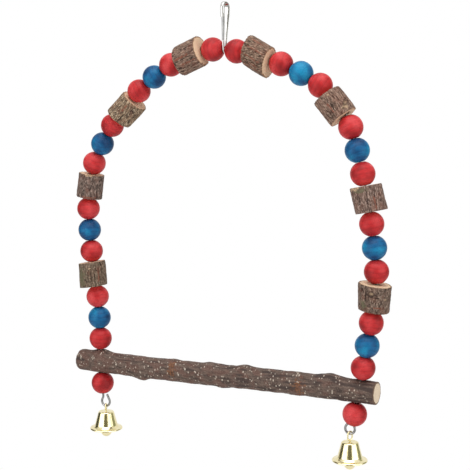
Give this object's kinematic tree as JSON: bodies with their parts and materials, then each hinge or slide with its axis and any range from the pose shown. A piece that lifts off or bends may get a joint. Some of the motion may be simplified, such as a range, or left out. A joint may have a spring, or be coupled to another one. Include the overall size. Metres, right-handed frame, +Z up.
{
  "type": "bird swing",
  "caption": "Hanging bird swing: a branch perch under a bent wire arch strung with stained wooden beads and bark blocks, a spring clip on top and a small bell under each end.",
  "frame": {"origin": "centre of the cage bar seated in the clip's hook", "axes": "+Z up, X along the perch, +Y to the back, away from the viewer's side"},
  "size_m": [0.235, 0.0248, 0.3048],
  "materials": {
    "nickel_plated_strip": "bright nickel plate on bent steel strip",
    "steel_wire": "plain drawn wire",
    "perch_branch": "natural bark with pale lenticels and sawn ends",
    "red_stained_wood": "water stain, rubbed to a satin sheen",
    "blue_stained_wood": "water stain, rubbed to a satin sheen",
    "bark_block_wood": "natural bark with pale sawn ends",
    "polished_brass": "pale polished brass plate"
  },
  "bodies": {
    "clip": {"clip_hook": "nickel_plated_strip"},
    "gate": {"clip_gate": "nickel_plated_strip"},
    "arch": {"arch_wire": "steel_wire", "perch": "perch_branch"},
    "left_01": {"left_01_red_bead": "red_stained_wood"},
    "left_02": {"left_02_bark_block": "bark_block_wood"},
    "left_03": {"left_03_red_bead": "red_stained_wood"},
    "left_04": {"left_04_blue_bead": "blue_stained_wood"},
    "left_05": {"left_05_red_bead": "red_stained_wood"},
    "left_06": {"left_06_bark_block": "bark_block_wood"},
    "left_07": {"left_07_red_bead": "red_stained_wood"},
    "left_08": {"left_08_blue_bead": "blue_stained_wood"},
    "left_09": {"left_09_red_bead": "red_stained_wood"},
    "left_10": {"left_10_bark_block": "bark_block_wood"},
    "left_11": {"left_11_red_bead": "red_stained_wood"},
    "left_12": {"left_12_blue_bead": "blue_stained_wood"},
    "left_13": {"left_13_red_bead": "red_stained_wood"},
    "left_14": {"left_14_bark_block": "bark_block_wood"},
    "left_15": {"left_15_red_bead": "red_stained_wood"},
    "left_16": {"left_16_blue_bead": "blue_stained_wood"},
    "left_17": {"left_17_red_bead": "red_stained_wood"},
    "left_18": {"left_18_red_bead": "red_stained_wood"},
    "left_bell": {"left_bell_shell": "polished_brass", "left_bell_hanger": "polished_brass"},
    "left_clapper": {"left_clapper": "polished_brass"},
    "right_01": {"right_01_red_bead": "red_stained_wood"},
    "right_02": {"right_02_bark_block": "bark_block_wood"},
    "right_03": {"right_03_red_bead": "red_stained_wood"},
    "right_04": {"right_04_blue_bead": "blue_stained_wood"},
    "right_05": {"right_05_red_bead": "red_stained_wood"},
    "right_06": {"right_06_bark_block": "bark_block_wood"},
    "right_07": {"right_07_red_bead": "red_stained_wood"},
    "right_08": {"right_08_blue_bead": "blue_stained_wood"},
    "right_09": {"right_09_red_bead": "red_stained_wood"},
    "right_10": {"right_10_bark_block": "bark_block_wood"},
    "right_11": {"right_11_red_bead": "red_stained_wood"},
    "right_12": {"right_12_blue_bead": "blue_stained_wood"},
    "right_13": {"right_13_red_bead": "red_stained_wood"},
    "right_14": {"right_14_bark_block": "bark_block_wood"},
    "right_15": {"right_15_red_bead": "red_stained_wood"},
    "right_16": {"right_16_blue_bead": "blue_stained_wood"},
    "right_17": {"right_17_red_bead": "red_stained_wood"},
    "right_18": {"right_18_red_bead": "red_stained_wood"},
    "right_bell": {"right_bell_shell": "polished_brass", "right_bell_hanger": "polished_brass"},
    "right_clapper": {"right_clapper": "polished_brass"}
  },
  "joints": [
    {"name": "gate_press", "type": "hinge", "parent": "clip", "child": "gate", "pos_m": [0, -0.00217, -0.0206], "axis": [-1, 0, 0], "range_deg": [0, 15], "stiffness_Nm_per_rad": 0.05},
    {"name": "arch_swing", "type": "hinge", "parent": "clip", "child": "arch", "pos_m": [0, 0, -0.027], "axis": [1, 0, 0], "range_deg": [-90, 90]},
    {"name": "left_01_spin", "type": "hinge", "parent": "arch", "child": "left_01", "pos_m": [-0.00864, 0, -0.0267], "axis": [-0.9994, 0, -0.0339], "continuous": true},
    {"name": "left_02_spin", "type": "hinge", "parent": "arch", "child": "left_02", "pos_m": [-0.02521, 0, -0.0295], "axis": [-0.9551, 0, -0.2963], "continuous": true},
    {"name": "left_03_spin", "type": "hinge", "parent": "arch", "child": "left_03", "pos_m": [-0.04044, 0, -0.03624], "axis": [-0.8794, 0, -0.4761], "continuous": true},
    {"name": "left_04_spin", "type": "hinge", "parent": "arch", "child": "left_04", "pos_m": [-0.05353, 0, -0.04427], "axis": [-0.8231, 0, -0.5679], "continuous": true},
    {"name": "left_05_spin", "type": "hinge", "parent": "arch", "child": "left_05", "pos_m": [-0.06568, 0, -0.05365], "axis": [-0.7573, 0, -0.653], "continuous": true},
    {"name": "left_06_spin", "type": "hinge", "parent": "arch", "child": "left_06", "pos_m": [-0.07726, 0, -0.06485], "axis": [-0.6788, 0, -0.7343], "continuous": true},
    {"name": "left_07_spin", "type": "hinge", "parent": "arch", "child": "left_07", "pos_m": [-0.08751, 0, -0.07728], "axis": [-0.5917, 0, -0.8062], "continuous": true},
    {"name": "left_08_spin", "type": "hinge", "parent": "arch", "child": "left_08", "pos_m": [-0.09592, 0, -0.09012], "axis": [-0.5016, 0, -0.8651], "continuous": true},
    {"name": "left_09_spin", "type": "hinge", "parent": "arch", "child": "left_09", "pos_m": [-0.10289, 0, -0.1038], "axis": [-0.4057, 0, -0.914], "continuous": true},
    {"name": "left_10_spin", "type": "hinge", "parent": "arch", "child": "left_10", "pos_m": [-0.10768, 0, -0.11967], "axis": [-0.165, 0, -0.9863], "continuous": true},
    {"name": "left_11_spin", "type": "hinge", "parent": "arch", "child": "left_11", "pos_m": [-0.10848, 0, -0.13609], "axis": [0.0256, 0, -0.9997], "continuous": true},
    {"name": "left_12_spin", "type": "hinge", "parent": "arch", "child": "left_12", "pos_m": [-0.10777, 0, -0.15125], "axis": [0.0673, 0, -0.9977], "continuous": true},
    {"name": "left_13_spin", "type": "hinge", "parent": "arch", "child": "left_13", "pos_m": [-0.10644, 0, -0.16637], "axis": [0.1088, 0, -0.9941], "continuous": true},
    {"name": "left_14_spin", "type": "hinge", "parent": "arch", "child": "left_14", "pos_m": [-0.1043, 0, -0.18257], "axis": [0.1533, 0, -0.9882], "continuous": true},
    {"name": "left_15_spin", "type": "hinge", "parent": "arch", "child": "left_15", "pos_m": [-0.10198, 0, -0.19872], "axis": [0.115, 0, -0.9934], "continuous": true},
    {"name": "left_16_spin", "type": "hinge", "parent": "arch", "child": "left_16", "pos_m": [-0.10064, 0, -0.21387], "axis": [0.0612, 0, -0.9981], "continuous": true},
    {"name": "left_17_spin", "type": "hinge", "parent": "arch", "child": "left_17", "pos_m": [-0.10002, 0, -0.22899], "axis": [0.0349, 0, -0.9994], "continuous": true},
    {"name": "left_18_spin", "type": "hinge", "parent": "arch", "child": "left_18", "pos_m": [-0.09889, 0, -0.2613], "axis": [0.0349, 0, -0.9994], "continuous": true},
    {"name": "left_bell_swing", "type": "hinge", "parent": "arch", "child": "left_bell", "pos_m": [-0.09638, 0, -0.27805], "axis": [1, 0, 0], "range_deg": [-70, 70]},
    {"name": "left_clapper_swing", "type": "hinge", "parent": "left_bell", "child": "left_clapper", "pos_m": [-0.09638, 0, -0.2865], "axis": [0.9397, 0.342, 0], "range_deg": [-29, 29]},
    {"name": "right_01_spin", "type": "hinge", "parent": "arch", "child": "right_01", "pos_m": [0.00884, 0, -0.02817], "axis": [0.9873, 0, -0.1591], "continuous": true},
    {"name": "right_02_spin", "type": "hinge", "parent": "arch", "child": "right_02", "pos_m": [0.02501, 0, -0.03166], "axis": [0.965, 0, -0.2621], "continuous": true},
    {"name": "right_03_spin", "type": "hinge", "parent": "arch", "child": "right_03", "pos_m": [0.04073, 0, -0.03683], "axis": [0.9321, 0, -0.3622], "continuous": true},
    {"name": "right_04_spin", "type": "hinge", "parent": "arch", "child": "right_04", "pos_m": [0.05473, 0, -0.04307], "axis": [0.8924, 0, -0.4513], "continuous": true},
    {"name": "right_05_spin", "type": "hinge", "parent": "arch", "child": "right_05", "pos_m": [0.06805, 0, -0.05065], "axis": [0.8441, 0, -0.5361], "continuous": true},
    {"name": "right_06_spin", "type": "hinge", "parent": "arch", "child": "right_06", "pos_m": [0.08074, 0, -0.06184], "axis": [0.6232, 0, -0.782], "continuous": true},
    {"name": "right_07_spin", "type": "hinge", "parent": "arch", "child": "right_07", "pos_m": [0.08882, 0, -0.07675], "axis": [0.3157, 0, -0.9488], "continuous": true},
    {"name": "right_08_spin", "type": "hinge", "parent": "arch", "child": "right_08", "pos_m": [0.09327, 0, -0.09127], "axis": [0.2741, 0, -0.9617], "continuous": true},
    {"name": "right_09_spin", "type": "hinge", "parent": "arch", "child": "right_09", "pos_m": [0.09714, 0, -0.10594], "axis": [0.2366, 0, -0.9716], "continuous": true},
    {"name": "right_10_spin", "type": "hinge", "parent": "arch", "child": "right_10", "pos_m": [0.10061, 0, -0.12158], "axis": [0.1965, 0, -0.9805], "continuous": true},
    {"name": "right_11_spin", "type": "hinge", "parent": "arch", "child": "right_11", "pos_m": [0.10344, 0, -0.13735], "axis": [0.1561, 0, -0.9877], "continuous": true},
    {"name": "right_12_spin", "type": "hinge", "parent": "arch", "child": "right_12", "pos_m": [0.10551, 0, -0.15238], "axis": [0.1176, 0, -0.9931], "continuous": true},
    {"name": "right_13_spin", "type": "hinge", "parent": "arch", "child": "right_13", "pos_m": [0.10701, 0, -0.16749], "axis": [0.0743, 0, -0.9972], "continuous": true},
    {"name": "right_14_spin", "type": "hinge", "parent": "arch", "child": "right_14", "pos_m": [0.1066, 0, -0.1843], "axis": [-0.1221, 0, -0.9925], "continuous": true},
    {"name": "right_15_spin", "type": "hinge", "parent": "arch", "child": "right_15", "pos_m": [0.1039, 0, -0.20052], "axis": [-0.1702, 0, -0.9854], "continuous": true},
    {"name": "right_16_spin", "type": "hinge", "parent": "arch", "child": "right_16", "pos_m": [0.10134, 0, -0.21536], "axis": [-0.1702, 0, -0.9854], "continuous": true},
    {"name": "right_17_spin", "type": "hinge", "parent": "arch", "child": "right_17", "pos_m": [0.09878, 0, -0.2302], "axis": [-0.1702, 0, -0.9854], "continuous": true},
    {"name": "right_18_spin", "type": "hinge", "parent": "arch", "child": "right_18", "pos_m": [0.09342, 0, -0.26118], "axis": [-0.1702, 0, -0.9854], "continuous": true},
    {"name": "right_bell_swing", "type": "hinge", "parent": "arch", "child": "right_bell", "pos_m": [0.09029, 0, -0.27462], "axis": [1, 0, 0], "range_deg": [-70, 70]},
    {"name": "right_clapper_swing", "type": "hinge", "parent": "right_bell", "child": "right_clapper", "pos_m": [0.09029, 0, -0.28447], "axis": [0.8829, -0.4695, 0], "range_deg": [-29, 29]}
  ]
}
